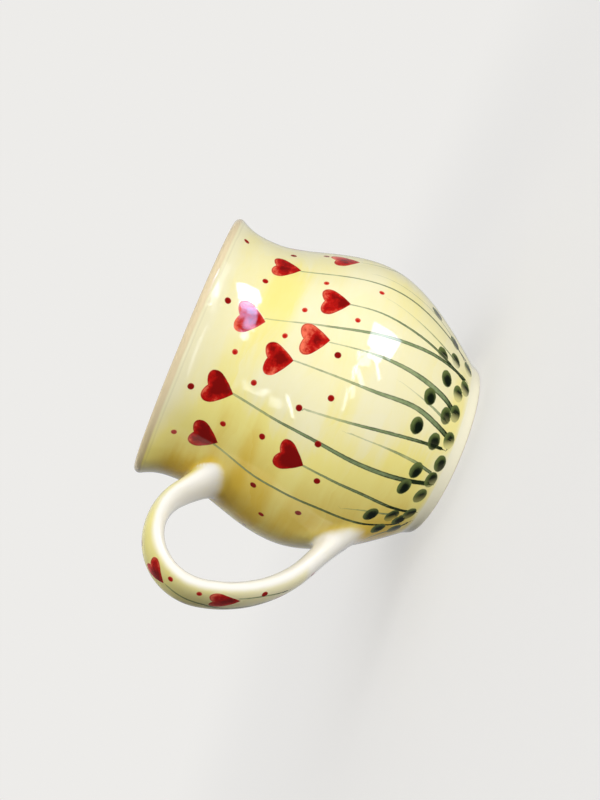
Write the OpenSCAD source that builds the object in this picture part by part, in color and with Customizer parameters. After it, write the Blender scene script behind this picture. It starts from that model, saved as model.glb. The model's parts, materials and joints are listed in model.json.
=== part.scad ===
// Round-bellied mug with a drawn-in neck, a flared lip and a looped strap handle.
// It stands on its foot ring: the origin is the middle of the ring's underside, Z points
// up through the mouth, and the handle lies in the XZ plane on the +X side. Millimetres.

/* [Body] */
// Height from the table to the crest of the lip
body_h = 90; // [84:1:104]
// Diameter of the belly at its widest ring
belly_d = 96; // [90:1:106]
// Height of the widest ring of the belly
belly_z = 40.5; // [36:0.5:45]
// Fullness of the belly's underside, as a share of its height
belly_under = 0.35; // [0.25:0.01:0.45]
// Fullness of the shoulder, as a share of the height from belly to neck
belly_over = 0.39; // [0.3:0.01:0.48]
// Thickness of the wall
wall = 4.2; // [3.4:0.1:5.5]

/* [Neck and lip] */
// Diameter of the neck at its narrowest
neck_d = 81.6; // [76:0.2:84]
// From the crest of the lip down to the narrowest ring of the neck
neck_drop = 14.5; // [12:0.5:18]
// Outer diameter of the lip
lip_d = 87; // [85:0.5:93]
// Lean of the neck where it runs out into the lip, from upright
lip_lean = 28; // [18:1:36]
// Thickness of the rounded lip
lip_t = 3.4; // [2.6:0.1:4.2]
// Fullness of the neck below its narrowest ring, as a share of the height from belly to neck
neck_under = 0.28; // [0.2:0.01:0.36]
// Fullness of the neck above that ring, as a share of the height from neck to lip
neck_over = 0.45; // [0.35:0.01:0.55]
// Fullness of the flare below the lip, as a share of the same height
lip_under = 0.4; // [0.3:0.01:0.5]

/* [Foot] */
// Diameter of the foot where the body rises from it
foot_d = 60; // [54:0.5:64]
// Height of the foot
foot_h = 3; // [2:0.1:4]
// How much narrower the foot's radius is at the table
foot_taper = 1.2; // [0.6:0.1:2]
// Rounding of the foot's outer edge
foot_edge = 0.8; // [0.4:0.1:1.2]
// Width of the ring that touches the table
foot_ring_w = 4.5; // [3:0.1:6]
// Depth of the hollow inside the foot ring
foot_hollow = 1.8; // [1:0.1:2.4]
// Thickness of the floor above that hollow
floor_t = 4.6; // [3.6:0.1:6]
// Lean of the wall where it leaves the foot, from upright
foot_lean = 38; // [30:1:44]
// Fullness of the wall above the foot, as a share of the height from foot to belly
foot_over = 0.38; // [0.3:0.01:0.44]

/* [Handle] */
// From the belly's side out to the back of the handle
handle_reach = 31.2; // [27:0.2:36]
// From the crest of the lip down to the top of the handle
handle_drop = 9.8; // [8:0.2:14]
// Width of the strap
strap_w = 15.5; // [12:0.5:18]
// Width of the strap where it meets the belly below
strap_low_w = 11.5; // [9:0.5:15]
// Thickness of the strap
strap_t = 6; // [5:0.1:7.5]
// Squareness of the strap's section, 2 being an ellipse
strap_square = 2.3; // [2:0.1:3]
// Radius of the upper bend, along the middle of the strap
bend_top = 16.5; // [14:0.5:19]
// Radius of the long lower sweep, along the middle of the strap
bend_low = 38; // [32:0.5:44]
// Where the upper bend passes into the lower sweep, below level
bend_change = 10; // [0:1:20]
// Fall of the upper arm towards the body, below level
arm_top_fall = 37; // [25:1:45]
// Fall of the lower arm towards the body, below level
arm_low_fall = 28; // [18:1:36]
// Widening of each side of the strap where it joins the body
root_flare_w = 2; // [0.5:0.1:3]
// Thickening of each face of the strap at the upper root
root_flare_top = 1.6; // [0.5:0.1:3]
// Thickening of the strap's inner face at the lower root
root_crook_low = 3.6; // [1:0.1:4.5]
// Thickening of the strap's outer face at the lower root
root_heel_low = 0.8; // [0.2:0.1:2]
// Length of the strap over which a root widens
root_run = 12; // [8:0.5:16]

/* [Hidden] */

glaze = [0.95, 0.91, 0.62];
cream = [0.97, 0.95, 0.87];

// sides of the turned body, and steps along each stretch and each rounding of its profile
turned_sides = 180;
curve_steps = 14;
lip_steps = 8;
edge_steps = 4;
// length of one step along the strap, and points round its section
strap_step = 2.4;
strap_sides = 20;
// how far the ends of the strap run on past the outer surface, inside the wall
root_sink = 10;

neck_z = body_h - neck_drop;
lip_r = lip_t / 2;
lip_centre = [lip_d / 2 - lip_r, body_h - lip_r];

// One cubic curve in the radius and height plane: its points and its direction.
function along(c, u) =
    pow(1 - u, 3) * c[0] + 3 * pow(1 - u, 2) * u * c[1]
    + 3 * (1 - u) * u * u * c[2] + pow(u, 3) * c[3];
function heading(c, u) =
    pow(1 - u, 2) * (c[1] - c[0]) + 2 * (1 - u) * u * (c[2] - c[1])
    + u * u * (c[3] - c[2]);
function outward(c, u) = let (d = heading(c, u)) [d.y, -d.x] / norm(d);
function lean_of(angle) = [sin(angle), cos(angle)];
function mix(a, b, share) = a + (b - a) * share;
function ease(share) = let (s = max(0, min(1, share))) s * s * (3 - 2 * s);

// The outer profile in three stretches: foot to belly, belly to neck, neck to lip.
underside = let (low = [foot_d / 2, foot_h], high = [belly_d / 2, belly_z], rise = belly_z - foot_h)
    [low, low + lean_of(foot_lean) * rise * foot_over, high - [0, rise * belly_under], high];
shoulder = let (low = [belly_d / 2, belly_z], high = [neck_d / 2, neck_z], rise = neck_z - belly_z)
    [low, low + [0, rise * belly_over], high - [0, rise * neck_under], high];
lip_edge = lip_centre + lip_r * [cos(lip_lean), -sin(lip_lean)];
flare = let (low = [neck_d / 2, neck_z], rise = lip_edge.y - neck_z)
    [low, low + [0, rise * neck_over], lip_edge - lean_of(lip_lean) * rise * lip_under, lip_edge];

// Points of the profile at a depth given as a share of the wall: 0 outside, 1 inside.
function offset_curve(c, first, depth, thick_low, thick_high) = [
    for (i = [first : curve_steps])
        let (u = i / curve_steps)
            along(c, u) - outward(c, u) * depth * mix(thick_low, thick_high, ease(u))
];
function profile(depth, first) = concat(
    offset_curve(underside, first, depth, wall, wall),
    offset_curve(shoulder, 1, depth, wall, wall),
    offset_curve(flare, 1, depth, wall, lip_t)
);

// The inside starts some steps up the wall from the foot, and a dished floor runs in from
// there: it curves up over the last fifth of its radius and is level within three fifths.
floor_start = 3;
floor_level = 0.6;
floor_curve = 0.2;
floor_z = foot_hollow + floor_t;
floor_line = let (
    u = floor_start / curve_steps,
    join = along(underside, u) - outward(underside, u) * wall,
    run = heading(underside, u) / norm(heading(underside, u)),
    c = [[0, floor_z], [join.x * floor_level, floor_z], join - run * join.x * floor_curve, join]
) [for (i = [0 : curve_steps - 1]) along(c, i / curve_steps)];

// Points of an arc after its first one.
function polar(radius, angle) = radius * [cos(angle), sin(angle)];
function arc_points(centre, radius, from, to, steps) = [
    for (i = [1 : steps]) centre + polar(radius, mix(from, to, i / steps))
];

// Under the foot: the hollow, the ring that touches the table and its rounded outer edge.
foot_outline = let (low_r = foot_d / 2 - foot_taper, inner_r = low_r - foot_ring_w)
    concat(
        [[0, foot_hollow], [inner_r - foot_hollow, foot_hollow], [inner_r, 0], [low_r - foot_edge, 0]],
        arc_points([low_r - foot_edge, foot_edge], foot_edge, -90, 0, edge_steps)
    );
// Over the lip: from the outer profile's last point up to the crest, and down to the inner one's.
lip_outline = concat(
    arc_points(lip_centre, lip_r, -lip_lean, 90, lip_steps),
    arc_points(lip_centre, lip_r, 90, 180 - lip_lean, lip_steps)
);

// Outer radius of the body at a height, read off the outer profile.
skin = [for (p = profile(0, 0)) [p.y, p.x]];
function body_r(z) = lookup(z, skin);

// The middle line of the strap: upper arm, upper bend, lower sweep, lower arm.
bend_centre = [
    belly_d / 2 + handle_reach - strap_t / 2 - bend_top,
    body_h - handle_drop - strap_t / 2 - bend_top
];
sweep_centre = bend_centre + polar(bend_top - bend_low, -bend_change);
bend_from = 90 + arm_top_fall;
sweep_to = arm_low_fall - 90;
arm_top_start = bend_centre + polar(bend_top, bend_from);
arm_low_start = sweep_centre + polar(bend_low, sweep_to);
arm_top_way = -[cos(arm_top_fall), sin(arm_top_fall)];
arm_low_way = -[cos(arm_low_fall), sin(arm_low_fall)];

// Length of an arm from its bend to the body's outer surface, found by halving.
halvings = 20;
function reach_skin(from, way, near, far, left) =
    let (middle = (near + far) / 2, p = from + way * middle)
        left == 0 ? middle
        : p.x > body_r(p.y) ? reach_skin(from, way, middle, far, left - 1)
        : reach_skin(from, way, near, middle, left - 1);
arm_top = reach_skin(arm_top_start, arm_top_way, 0, belly_d / 2, halvings);
arm_low = reach_skin(arm_low_start, arm_low_way, 0, belly_d / 2, halvings);
bend_length = bend_top * (bend_from + bend_change) * PI / 180;
sweep_length = bend_low * (-bend_change - sweep_to) * PI / 180;
strap_length = arm_top + bend_length + sweep_length + arm_low;

// Place of the middle line at a length s from the upper root, and its outward direction.
function strap_at(s) =
    let (b = s - arm_top, w = b - bend_length, a = w - sweep_length)
        b < 0 ? [arm_top_start - arm_top_way * b, polar(1, bend_from)]
        : w < 0 ? let (angle = bend_from - b / bend_top * 180 / PI)
            [bend_centre + polar(bend_top, angle), polar(1, angle)]
        : a < 0 ? let (angle = -bend_change - w / bend_low * 180 / PI)
            [sweep_centre + polar(bend_low, angle), polar(1, angle)]
        : [arm_low_start + arm_low_way * a, polar(1, sweep_to)];

// How far a root's widening has run at a distance out from the body: 1 at the skin.
function root_share(out) = pow(max(0, min(1, 1 - out / root_run)), 2);
function strap_half_w(s) =
    mix(strap_w, strap_low_w, ease(2 * s / strap_length - 1)) / 2
    + root_flare_w * (root_share(s) + root_share(strap_length - s));
function strap_half_t(s, low_flare) =
    strap_t / 2 + root_flare_top * root_share(s) + low_flare * root_share(strap_length - s);
function rounded(value) = sign(value) * pow(abs(value), 2 / strap_square);
function strap_ring(s) =
    let (place = strap_at(s), middle = place[0], out = place[1])
        [for (i = [0 : strap_sides - 1])
            let (
                angle = i * 360 / strap_sides,
                half_t = strap_half_t(s, cos(angle) < 0 ? root_crook_low : root_heel_low),
                p = middle + out * half_t * rounded(cos(angle))
            ) [p.x, strap_half_w(s) * rounded(sin(angle)), p.y]];

// Skin a row of rings, each of the same number of points, into one closed solid.
module sweep(rings) {
    sides = len(rings[0]);
    last = (len(rings) - 1) * sides;
    polyhedron(
        points = [for (ring = rings, p = ring) p],
        faces = concat(
            [for (k = [0 : len(rings) - 2], i = [0 : sides - 1])
                let (a = k * sides + i, b = k * sides + (i + 1) % sides)
                    each [[a, b, b + sides], [a, b + sides, a + sides]]],
            [[for (i = [sides - 1 : -1 : 0]) i]],
            [[for (i = [0 : sides - 1]) last + i]]
        )
    );
}

// The thrown body in one section: foot, belly, neck, lip, and back down the inside.
module body() {
    inside = concat(floor_line, profile(1, floor_start));
    color(glaze)
    rotate_extrude($fn = turned_sides)
        polygon(concat(
            foot_outline,
            profile(0, 0),
            lip_outline,
            [for (i = [len(inside) - 2 : -1 : 0]) inside[i]]
        ));
}

// Everything inside the middle of the wall, to trim what the strap's ends leave there.
module wall_core() {
    rotate_extrude($fn = turned_sides)
        polygon(concat([[0, floor_z]], profile(0.5, floor_start), [[0, body_h]]));
}

// The strap handle, trimmed so that its roots end inside the wall.
module handle() {
    span = strap_length + 2 * root_sink;
    steps = ceil(span / strap_step);
    color(cream)
    difference() {
        sweep([for (k = [0 : steps]) strap_ring(k / steps * span - root_sink)]);
        wall_core();
    }
}

module mug() {
    union() {
        body();
        handle();
    }
}

mug();
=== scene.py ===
import bpy
import json
import math
import random
import numpy as np
from mathutils import Matrix, Vector

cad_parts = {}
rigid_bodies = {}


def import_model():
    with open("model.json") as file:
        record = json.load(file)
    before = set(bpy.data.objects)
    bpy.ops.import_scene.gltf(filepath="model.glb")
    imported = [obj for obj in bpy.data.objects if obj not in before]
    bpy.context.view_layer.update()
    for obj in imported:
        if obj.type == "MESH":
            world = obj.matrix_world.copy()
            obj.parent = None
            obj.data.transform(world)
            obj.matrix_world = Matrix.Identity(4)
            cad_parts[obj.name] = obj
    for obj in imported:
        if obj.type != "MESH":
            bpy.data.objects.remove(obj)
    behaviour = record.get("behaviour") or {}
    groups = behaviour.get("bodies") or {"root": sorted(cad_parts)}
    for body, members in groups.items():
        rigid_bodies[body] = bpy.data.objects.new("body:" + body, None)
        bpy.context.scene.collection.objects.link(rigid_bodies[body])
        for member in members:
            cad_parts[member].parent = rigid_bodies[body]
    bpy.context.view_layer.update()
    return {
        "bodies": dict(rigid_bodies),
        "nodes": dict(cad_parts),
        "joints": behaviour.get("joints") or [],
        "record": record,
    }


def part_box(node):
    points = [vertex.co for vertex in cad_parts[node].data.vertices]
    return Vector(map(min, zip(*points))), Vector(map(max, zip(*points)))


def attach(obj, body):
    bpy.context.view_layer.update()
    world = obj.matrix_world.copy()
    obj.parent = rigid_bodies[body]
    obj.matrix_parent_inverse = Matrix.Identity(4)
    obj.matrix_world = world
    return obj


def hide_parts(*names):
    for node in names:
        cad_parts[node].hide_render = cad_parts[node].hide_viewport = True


# A round-bellied mug of pale yellow glaze with brushed hearts on green stems.
# Lengths are in millimetres until a mesh is made: Blender works in metres.
for spare in list(bpy.data.objects):
    bpy.data.objects.remove(spare)
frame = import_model()
mm = 0.001
mugLow, mugHigh = (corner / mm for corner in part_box("mug"))
print("frame: mug box", [round(v, 1) for v in mugLow], [round(v, 1) for v in mugHigh])

bodyShape = {
    "height": mugHigh.z,
    "bellyD": 2 * mugHigh.y,
    "bellyZ": 40.5,
    "bellyUnder": 0.35,      # fullness below and above the belly, as shares of the height
    "bellyOver": 0.39,
    "neckD": 81.6,
    "neckDrop": 14.5,
    "neckUnder": 0.28,
    "neckOver": 0.45,
    "lipD": 87.0,
    "lipLean": 28.0,
    "lipT": 3.4,
    "lipUnder": 0.4,
    "wall": 4.2,
    "footD": 60.0,
    "footH": 3.0,
    "footTaper": 1.2,
    "footRing": 4.5,
    "footHollow": 1.8,
    "footLean": 38.0,
    "footOver": 0.38,
    "footRounds": (1.6, 0.8, 0.9, 1.1),      # roundings of the corners under the foot, from the hollow out
    "footNext": 12,          # the wall's point that the last of them turns towards
    "floorT": 4.6,
    "floorFrom": 0.2,        # where the inside starts, as a share of the underside's run
    "floorFlat": 0.6,        # fullness of the floor at its middle and at the wall
    "floorTurn": 0.2,
    "columns": 360,          # faces round the body
    "outerGap": 1.0,         # length of a face up the outside, round the lip, at the foot, inside
    "lipGap": 0.42,
    "footGap": 0.5,
    "innerGap": 1.7,
    "gapStep": 0.1,          # the gap is evened out over this many steps either way
    "gapSteps": 15,
    "wobble": 0.1,           # how far the wall strays from true, as a hand-made one does
}

strapShape = {
    "back": mugHigh.x,       # furthest point of the handle from the axis
    "drop": 9.8,
    "width": 15.5,
    "lowWidth": 11.5,
    "thick": 6.0,
    "square": 2.3,
    "bendTop": 16.5,
    "bendLow": 38.0,
    "change": 10.0,
    "topFall": 37.0,
    "lowFall": 28.0,
    "flareW": 2.0,
    "flareTop": 1.6,
    "crookLow": 3.6,
    "heelLow": 0.8,
    "run": 12.0,
    "fillet": 3.6,           # reach of the clay smoothed in round each root
    "rootsBetween": (6, 86), # heights between which the wall may open for a root
    "rootMargin": 0.6,
    "riseReach": 6,          # the wall rises into the fillet up to this far from the strap
    "clear": 2.6,            # a ring this far off the body is all handle
    "ringGap": 1.0,
    "rootRings": 12,
    "rootRelax": 24,         # rounds of evening out
}


def cubic(a, b, c, d, count=240):
    u = np.linspace(0, 1, count)[:, None]
    a, b, c, d = (np.array(p, float) for p in (a, b, c, d))
    return (1 - u) ** 3 * a + 3 * (1 - u) ** 2 * u * b + 3 * (1 - u) * u * u * c + u ** 3 * d


def leanOf(angle):
    return np.array([math.sin(math.radians(angle)), math.cos(math.radians(angle))])


def ease(share):
    share = np.clip(share, 0, 1)
    return share * share * (3 - 2 * share)


def arcPoints(centre, radius, start, stop, count=80):
    turn = np.radians(np.linspace(start, stop, count))
    return np.array(centre) + radius * np.column_stack([np.cos(turn), np.sin(turn)])


def cutCorner(before, corner, after, reach, count=30):
    # a corner rounded by a curve that leaves its sides this far from it
    before, corner, after = (np.array(p, float) for p in (before, corner, after))
    start = corner + (before - corner) / np.linalg.norm(before - corner) * reach
    stop = corner + (after - corner) / np.linalg.norm(after - corner) * reach
    return cubic(start, (start + 2 * corner) / 3, (stop + 2 * corner) / 3, stop, count)


def respace(path, gaps):
    # the same path with its points as far apart as the gap asked for at each place
    steps = np.hypot(*np.diff(path, axis=0).T)
    run = np.concatenate([[0], np.cumsum(steps / (0.5 * (gaps[1:] + gaps[:-1])))])
    at = np.linspace(0, run[-1], int(round(run[-1])) + 1)
    return np.column_stack([np.interp(at, run, path[:, k]) for k in range(2)])


def outlines(shape):
    # the outer wall, the lip, the inside and the foot, as radius and height
    foot = np.array([shape["footD"] / 2, shape["footH"]])
    belly = np.array([shape["bellyD"] / 2, shape["bellyZ"]])
    neck = np.array([shape["neckD"] / 2, shape["height"] - shape["neckDrop"]])
    lipR = shape["lipT"] / 2
    lipCentre = np.array([shape["lipD"] / 2 - lipR, shape["height"] - lipR])
    lean = math.radians(shape["lipLean"])
    lipEdge = lipCentre + lipR * np.array([math.cos(lean), -math.sin(lean)])
    up = np.array([0.0, 1.0])

    rise = belly[1] - foot[1]
    under = cubic(foot, foot + leanOf(shape["footLean"]) * rise * shape["footOver"],
                  belly - up * rise * shape["bellyUnder"], belly)
    rise = neck[1] - belly[1]
    shoulder = cubic(belly, belly + up * rise * shape["bellyOver"],
                     neck - up * rise * shape["neckUnder"], neck)
    rise = lipEdge[1] - neck[1]
    flare = cubic(neck, neck + up * rise * shape["neckOver"],
                  lipEdge - leanOf(shape["lipLean"]) * rise * shape["lipUnder"], lipEdge)
    outer = np.vstack([under[:-1], shoulder[:-1], flare])

    way = np.gradient(outer, axis=0)
    out = np.column_stack([way[:, 1], -way[:, 0]]) / np.hypot(way[:, 0], way[:, 1])[:, None]
    onFlare = np.arange(len(outer)) - (len(outer) - len(flare))
    thick = shape["wall"] + (shape["lipT"] - shape["wall"]) * ease(onFlare / (len(flare) - 1))
    start = int(shape["floorFrom"] * len(under))
    inner = (outer - out * thick[:, None])[start:]
    floorZ = shape["footHollow"] + shape["floorT"]
    join, run = inner[0], way[start] / np.hypot(*way[start])
    floor = cubic([0, floorZ], [join[0] * shape["floorFlat"], floorZ],
                  join - run * join[0] * shape["floorTurn"], join)

    lip = arcPoints(lipCentre, lipR, -shape["lipLean"], 180 - shape["lipLean"])
    inside = np.vstack([inner[::-1], floor[::-1][1:]])

    ringOut = foot[0] - shape["footTaper"]
    ringIn = ringOut - shape["footRing"]
    hollow = [ringIn - shape["footHollow"], shape["footHollow"]]
    corners = [[0, shape["footHollow"]], hollow, [ringIn, 0], [ringOut, 0], foot, outer[shape["footNext"]]]
    base = [np.array([corners[0]])]
    for k, reach in enumerate(shape["footRounds"], 1):
        base.append(cutCorner(corners[k - 1], corners[k], corners[k + 1], reach))
    base = np.vstack(base)
    # the corner above the foot ends on the wall, so the wall goes on from there
    wall = outer[outer[:, 1] > base[-1, 1] + 0.05]
    return base, wall, lip, inside


base, wall, lip, inside = outlines(bodyShape)
pieces = [(base, bodyShape["footGap"]), (wall, bodyShape["outerGap"]),
          (lip, bodyShape["lipGap"]), (inside, bodyShape["innerGap"])]
path = np.vstack([points for points, gap in pieces])
gaps = np.concatenate([np.full(len(points), gap) for points, gap in pieces])
distinct = np.concatenate([[True], np.hypot(*np.diff(path, axis=0).T) > 1e-6])
path, gaps = path[distinct], gaps[distinct]
run = np.concatenate([[0], np.cumsum(np.hypot(*np.diff(path, axis=0).T))])
ends = np.cumsum([np.hypot(*np.diff(points, axis=0).T).sum() for points, gap in pieces])
# the gap changes gradually from one stretch to the next
even = np.arange(0, run[-1], bodyShape["gapStep"])
evenGaps = np.interp(even, run, gaps)
hollowR = bodyShape["footD"] / 2 - bodyShape["footTaper"] - bodyShape["footRing"] - bodyShape["footHollow"]
underMiddle = (even < ends[0]) & (np.interp(even, run, path[:, 0]) < hollowR - 2)
evenGaps[underMiddle] = bodyShape["innerGap"]
eitherWay = bodyShape["gapSteps"]
evenShare = np.ones(2 * eitherWay + 1) / (2 * eitherWay + 1)
evenGaps = np.convolve(np.pad(evenGaps, eitherWay, "edge"), evenShare, "valid")
rows = respace(path, np.interp(run, even, evenGaps))
rowRun = np.concatenate([[0], np.cumsum(np.hypot(*np.diff(rows, axis=0).T))])
kinds = {"base": 0, "wall": 1, "lip": 2, "inside": 3, "strap": 4}
rowPart = np.minimum(np.searchsorted(ends, rowRun - 0.05), kinds["inside"])
print("outline:", len(rows), "rows,", [int((rowPart == k).sum()) for k in range(4)])


# The strap: upper arm, upper bend, lower sweep and lower arm, in the plane of radius and height.
def polar(radius, angle):
    return radius * np.array([math.cos(math.radians(angle)), math.sin(math.radians(angle))])


bendCentre = np.array([strapShape["back"], bodyShape["height"] - strapShape["drop"]])
bendCentre -= strapShape["thick"] / 2 + strapShape["bendTop"]
sweepCentre = bendCentre + polar(strapShape["bendTop"] - strapShape["bendLow"], -strapShape["change"])
bendFrom, sweepTo = 90 + strapShape["topFall"], strapShape["lowFall"] - 90
armTopStart = bendCentre + polar(strapShape["bendTop"], bendFrom)
armLowStart = sweepCentre + polar(strapShape["bendLow"], sweepTo)
armTopWay, armLowWay = -polar(1, strapShape["topFall"]), -polar(1, strapShape["lowFall"])


def wallR(z):
    return np.interp(z, wall[:, 1], wall[:, 0])


def armLength(start, way):
    reach = np.linspace(0, 60, 6001)
    at = start + reach[:, None] * way
    return reach[np.argmax(at[:, 0] < wallR(at[:, 1]))]


armTop, armLow = armLength(armTopStart, armTopWay), armLength(armLowStart, armLowWay)
bendRun = strapShape["bendTop"] * math.radians(bendFrom + strapShape["change"])
sweepRun = strapShape["bendLow"] * math.radians(-strapShape["change"] - sweepTo)
strapRun = armTop + bendRun + sweepRun + armLow


def strapAt(s):
    # middle of the strap and its outward direction, s millimetres from the upper root
    s = np.asarray(s, float)[..., None]
    onBend, onSweep = s - armTop, s - armTop - bendRun
    turnBend = np.radians(bendFrom) - onBend / strapShape["bendTop"]
    turnSweep = np.radians(-strapShape["change"]) - onSweep / strapShape["bendLow"]
    outBend = np.concatenate([np.cos(turnBend), np.sin(turnBend)], -1)
    outSweep = np.concatenate([np.cos(turnSweep), np.sin(turnSweep)], -1)
    middle = np.where(onBend < 0, armTopStart - armTopWay * onBend,
             np.where(onSweep < 0, bendCentre + strapShape["bendTop"] * outBend,
             np.where(onSweep < sweepRun, sweepCentre + strapShape["bendLow"] * outSweep,
                      armLowStart + armLowWay * (onSweep - sweepRun))))
    out = np.where(onBend < 0, polar(1, bendFrom), np.where(onSweep < 0, outBend,
          np.where(onSweep < sweepRun, outSweep, polar(1, sweepTo))))
    return middle, out


def strapNear(x, z):
    # the place along the strap nearest to a point, and how far out from its middle line it lies
    point = np.column_stack([x, z])
    best = np.full(len(point), 1e9)
    place, away = np.zeros(len(point)), np.zeros(len(point))
    arcs = [(bendCentre, strapShape["bendTop"], bendFrom, -strapShape["change"], armTop),
            (sweepCentre, strapShape["bendLow"], -strapShape["change"], sweepTo, armTop + bendRun)]
    arms = [(armTopStart, armTopWay, bendFrom, armTop, -1),
            (armLowStart, armLowWay, sweepTo, strapRun - armLow, 1)]
    for centre, radius, start, stop, before in arcs:
        offset = point - centre
        turn = np.degrees(np.arctan2(offset[:, 1], offset[:, 0]))
        turn = np.radians(np.clip(turn, stop, start))
        out = np.column_stack([np.cos(turn), np.sin(turn)])
        gone = np.hypot(*(offset - radius * out).T)
        nearer = gone < best
        best = np.where(nearer, gone, best)
        place = np.where(nearer, before + (math.radians(start) - turn) * radius, place)
        away = np.where(nearer, (offset * out).sum(1) - radius, away)
    for start, way, turn, before, sign in arms:
        offset = point - start
        along = np.clip(offset @ way, 0, 40)
        gone = np.hypot(*(offset - along[:, None] * way).T)
        nearer = gone < best
        best = np.where(nearer, gone, best)
        place = np.where(nearer, before + sign * along, place)
        away = np.where(nearer, offset @ polar(1, turn), away)
    return place, away


def rootShare(out):
    return np.clip(1 - out / strapShape["run"], 0, 1) ** 2


def halfWidth(s):
    share = ease(2 * s / strapRun - 1)
    plain = strapShape["width"] + (strapShape["lowWidth"] - strapShape["width"]) * share
    return plain / 2 + strapShape["flareW"] * (rootShare(s) + rootShare(strapRun - s))


def halfThick(s, inner):
    lowFlare = np.where(inner, strapShape["crookLow"], strapShape["heelLow"])
    upper = strapShape["thick"] / 2 + strapShape["flareTop"] * rootShare(s)
    return upper + lowFlare * rootShare(strapRun - s)


def strapGap(points):
    # how far a point lies off the strap's surface, less than 0 inside
    s, n = strapNear(points[:, 0], points[:, 2])
    power = strapShape["square"]
    w, t = halfWidth(s), halfThick(s, n < 0)
    reach = np.hypot(n, points[:, 1]) + 1e-6
    full = ((np.abs(n) / t) ** power + (np.abs(points[:, 1]) / w) ** power) ** (1 / power) + 1e-6
    return reach * (1 - 1 / full)


def wallGap(points):
    slant = np.gradient(wall[:, 0], wall[:, 1])
    share = 1 / np.sqrt(1 + np.interp(points[:, 2], wall[:, 1], slant) ** 2)
    return (np.hypot(points[:, 0], points[:, 1]) - wallR(points[:, 2])) * share


def clay(points):
    # the two surfaces run together with a smooth fillet
    a, b, reach = wallGap(points), strapGap(points), strapShape["fillet"]
    share = np.clip(0.5 + 0.5 * (b - a) / reach, 0, 1)
    return b + (a - b) * share - reach * share * (1 - share)


def settle(points, rounds=4):
    # moves points onto the surface of the clay
    for _ in range(rounds):
        steps = np.eye(3) * 0.01
        slope = np.column_stack([clay(points + step) - clay(points - step) for step in steps]) / 0.02
        points = points - clay(points)[:, None] * slope / (slope ** 2).sum(1)[:, None]
    return points


columns = bodyShape["columns"]
turn = np.radians(np.arange(columns) * 360 / columns)
grid = np.stack([rows[:, [0]] * np.cos(turn), rows[:, [0]] * np.sin(turn),
                 np.repeat(rows[:, [1]], columns, 1)], -1)

# Two blocks of the wall's faces, of one size, make way for the roots of the strap.
lowest, highest = strapShape["rootsBetween"]
wallRows = np.nonzero((rowPart == kinds["wall"]) & (rows[:, 1] > lowest) & (rows[:, 1] < highest))[0]
gap = strapGap(grid[wallRows].reshape(-1, 3)).reshape(len(wallRows), columns)
near = gap < strapShape["fillet"] + strapShape["rootMargin"]
isTop = rows[wallRows, 1] > (lowest + highest) / 2
hits = [wallRows[near[:, 0] & isTop], wallRows[near[:, 0] & ~isTop]]
half = max(np.nonzero(near[:, :columns // 4].any(0))[0]) + 1
tall = max(hit[-1] - hit[0] for hit in hits) + 2
blocks = [int((hit[0] + hit[-1]) // 2 - tall // 2) for hit in hits]
print("roots: blocks of", 2 * half, "by", tall, "faces at rows", blocks)


def blockLoop(low, fromTop):
    # the block's border, from the middle of one end and round by +Y, as row and column
    top = [(low + tall, k) for k in range(half)]
    side = [(low + tall - k, half) for k in range(tall)]
    under = [(low, half - k) for k in range(2 * half)]
    far = [(low + k, -half) for k in range(tall)]
    rest = [(low + tall, -half + k) for k in range(half)]
    loop = top + side + under + far + rest
    if not fromTop:
        loop = [(2 * low + tall - row, column) for row, column in loop]
    return loop


loops = [blockLoop(blocks[0], True), blockLoop(blocks[1], False)]
ringCount = len(loops[0])

# The wall near the roots rises into the fillet.
beside = np.zeros(grid.shape[:2], bool)
beside[wallRows] = gap < strapShape["fillet"] + strapShape["riseReach"]
grid[beside] = settle(grid[beside])


def ringPoints(s):
    # evenly spaced points round the strap, from its outer middle by +Y
    middle, out = strapAt(s)
    lap = np.radians(np.linspace(0, 360, 1441))
    c, d = np.cos(lap), np.sin(lap)
    power = 2 / strapShape["square"]
    t = halfThick(s, c < 0)
    n = t * np.sign(c) * np.abs(c) ** power
    y = halfWidth(s) * np.sign(d) * np.abs(d) ** power
    length = np.concatenate([[0], np.cumsum(np.hypot(np.diff(n), np.diff(y)))])
    at = np.linspace(0, length[-1], ringCount + 1)[:-1]
    n, y = np.interp(at, length, n), np.interp(at, length, y)
    return np.column_stack([middle[0] + out[0] * n, y, middle[1] + out[1] * n])


def firstClear(places):
    for s in places:
        if wallGap(ringPoints(s)).min() > strapShape["clear"]:
            return s


fromRoot = np.arange(0, 30, 0.25)
firstRing, lastRing = firstClear(fromRoot), firstClear(strapRun - fromRoot)
ringPlaces = np.linspace(firstRing, lastRing, int((lastRing - firstRing) / strapShape["ringGap"]))
borders = [np.array([grid[row, column % columns] for row, column in loop]) for loop in loops]
count = strapShape["rootRings"]
share = np.arange(1, count)[:, None, None] / count
tube = np.concatenate([
    borders[0][None],
    borders[0] + (ringPoints(firstRing) - borders[0]) * share,
    np.array([ringPoints(s) for s in ringPlaces]),
    borders[1] + (ringPoints(lastRing) - borders[1]) * share[::-1],
    borders[1][None],
])


def relax(rings, rounds):
    # evens out the faces between a root's border and the first whole ring
    for _ in range(rounds):
        middle = rings[1:-1]
        middle = 0.25 * (rings[:-2] + rings[2:] + np.roll(middle, 1, 1) + np.roll(middle, -1, 1))
        rings[1:-1] = settle(middle.reshape(-1, 3), 2).reshape(middle.shape)
    return rings


tube[:count + 3] = relax(tube[:count + 3].copy(), strapShape["rootRelax"])
tube[-count - 3:] = relax(tube[-count - 3:].copy(), strapShape["rootRelax"])
print("strap:", len(tube), "rings of", ringCount, "points")

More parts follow.
